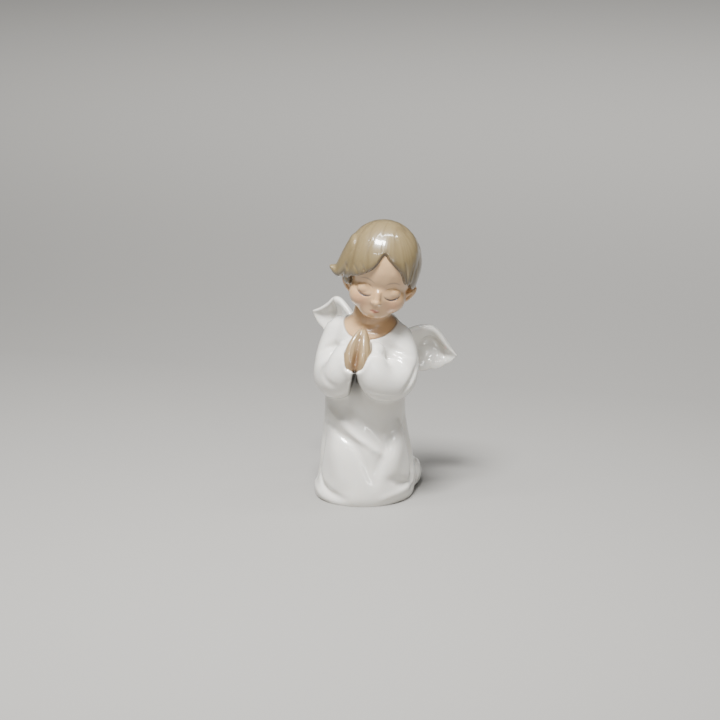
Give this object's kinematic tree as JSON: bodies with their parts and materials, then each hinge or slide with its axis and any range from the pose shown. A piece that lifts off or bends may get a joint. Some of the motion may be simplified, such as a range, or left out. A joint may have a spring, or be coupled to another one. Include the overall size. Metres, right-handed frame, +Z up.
{
  "type": "porcelain angel figurine",
  "caption": "Small glazed porcelain figurine of a child angel kneeling in a long gown, hands together in prayer, with short wings; stands on its own flat underside.",
  "frame": {"origin": "on the ground, under the middle of the gown, on the figurine's flat underside", "axes": "+Z up; the figure faces -Y; +X is the figure's own left side"},
  "size_m": [0.0702, 0.0574, 0.1311],
  "materials": {
    "glazed_porcelain": "high-gloss clear glaze over soft underglaze colours"
  },
  "bodies": {
    "root": {"angel_figurine": "glazed_porcelain"}
  },
  "joints": []
}
